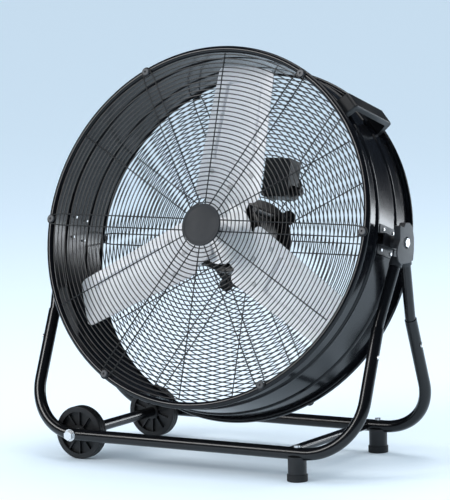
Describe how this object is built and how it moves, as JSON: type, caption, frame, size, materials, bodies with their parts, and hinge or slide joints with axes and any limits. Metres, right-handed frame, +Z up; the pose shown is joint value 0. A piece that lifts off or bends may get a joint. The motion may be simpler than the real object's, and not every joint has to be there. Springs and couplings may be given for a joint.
{
  "type": "wheeled drum fan",
  "caption": "Axial air mover: a tilting sheet-metal drum with wire guards and a bladed fan on a direct-drive motor, carried by a bent-tube frame with wheels and feet.",
  "frame": {"origin": "on the floor under the middle of the fan, at the centre of its bounding box's bottom face", "axes": "+Z up, the air leaves towards -Y, +X to the right seen from the front; the tilt axis and the wheel-to-foot line lie along X, and the wheels' axle along Y"},
  "size_m": [0.7292, 0.3648, 0.7478],
  "materials": {
    "gloss_black": "gloss powder coat",
    "guard_wire": "satin powder-coated wire",
    "dark_grey_plastic": "matte",
    "black_steel": "satin",
    "black_screws": "black oxide",
    "handle_plastic": "fine grain",
    "zinc": "bright zinc",
    "motor_black": "satin",
    "bearing_steel": "ground",
    "lamination_steel": "laminated steel",
    "copper_winding": "varnished copper wire",
    "hub_steel": "zinc plated",
    "blade_aluminium": "satin sheet",
    "rivet_aluminium": "smooth",
    "box_plastic": "fine grain",
    "switch_plastic": "moulded",
    "capacitor_grey": "moulded",
    "dial_plastic": "smooth",
    "knob_plastic": "semi gloss",
    "tube_black": "gloss powder coat",
    "bracket_grey": "satin powder coat",
    "wheel_black": "moulded",
    "foot_plastic": "moulded",
    "foot_rubber": "matte"
  },
  "bodies": {
    "frame": {"front_base_tube": "tube_black", "rear_base_tube": "tube_black", "front_left_leg": "tube_black", "front_right_leg": "tube_black", "rear_left_leg": "tube_black", "rear_right_leg": "tube_black", "leg_screws": "zinc", "right_pivot_bracket": "bracket_grey", "left_pivot_bracket": "bracket_grey", "axle_rod": "zinc", "axle_nut": "zinc", "axle_washers": "zinc", "wheel_spacers": "zinc", "axle_sleeve": "tube_black", "foot_posts": "foot_plastic", "foot_pads": "foot_rubber", "foot_bolts": "zinc", "cross_brace": "tube_black"},
    "front_wheel": {"front_wheel": "wheel_black"},
    "rear_wheel": {"rear_wheel": "wheel_black"},
    "fan": {"fan_shaft": "bearing_steel", "rotor_core": "lamination_steel", "hub_nut": "zinc", "hub_spider": "hub_steel", "blade_1": "blade_aluminium", "blade_2": "blade_aluminium", "blade_3": "blade_aluminium", "blade_rivets": "rivet_aluminium"},
    "speed_knob": {"speed_knob": "knob_plastic"},
    "head": {"drum_shell": "gloss_black", "front_guard": "guard_wire", "rear_guard": "guard_wire", "guard_badge": "dark_grey_plastic", "badge_retainer": "black_steel", "guard_screws": "black_screws", "carry_handle": "handle_plastic", "handle_screws": "zinc", "pivot_channels": "black_steel", "channel_screws": "zinc", "pivot_nuts": "zinc", "pivot_spacers": "black_steel", "pivot_bolts": "zinc", "motor_mount_plate": "black_steel", "switch_box_plate": "black_steel", "clamp_washers": "black_steel", "clamp_screws": "black_screws", "motor_rear_shell": "motor_black", "motor_front_shell": "motor_black", "motor_through_bolts": "black_screws", "motor_bearings": "bearing_steel", "stator_core": "lamination_steel", "stator_windings": "copper_winding", "switch_box": "box_plastic", "switch_box_cover": "box_plastic", "cord_gland": "box_plastic", "speed_switch": "switch_plastic", "run_capacitor": "capacitor_grey", "speed_dial": "dial_plastic", "dial_screws": "zinc"}
  },
  "joints": [
    {"name": "drum_tilt", "type": "hinge", "parent": "frame", "child": "head", "pos_m": [0, 0, 0.4065], "axis": [-1, 0, 0], "range_deg": [-107, 73]},
    {"name": "fan_spin", "type": "hinge", "parent": "head", "child": "fan", "pos_m": [0, 0, 0.4065], "axis": [0, -0.9563, 0.2924], "continuous": true},
    {"name": "front_wheel_roll", "type": "hinge", "parent": "frame", "child": "front_wheel", "pos_m": [-0.2425, -0.1265, 0.0485], "axis": [0, 1, 0], "continuous": true},
    {"name": "rear_wheel_roll", "type": "hinge", "parent": "frame", "child": "rear_wheel", "pos_m": [-0.2425, 0.1265, 0.0485], "axis": [0, 1, 0], "continuous": true},
    {"name": "speed_select", "type": "hinge", "parent": "head", "child": "speed_knob", "pos_m": [0.063, 0.12753, 0.48161], "axis": [0, 0.9563, -0.2924], "range_deg": [0, 135]}
  ]
}
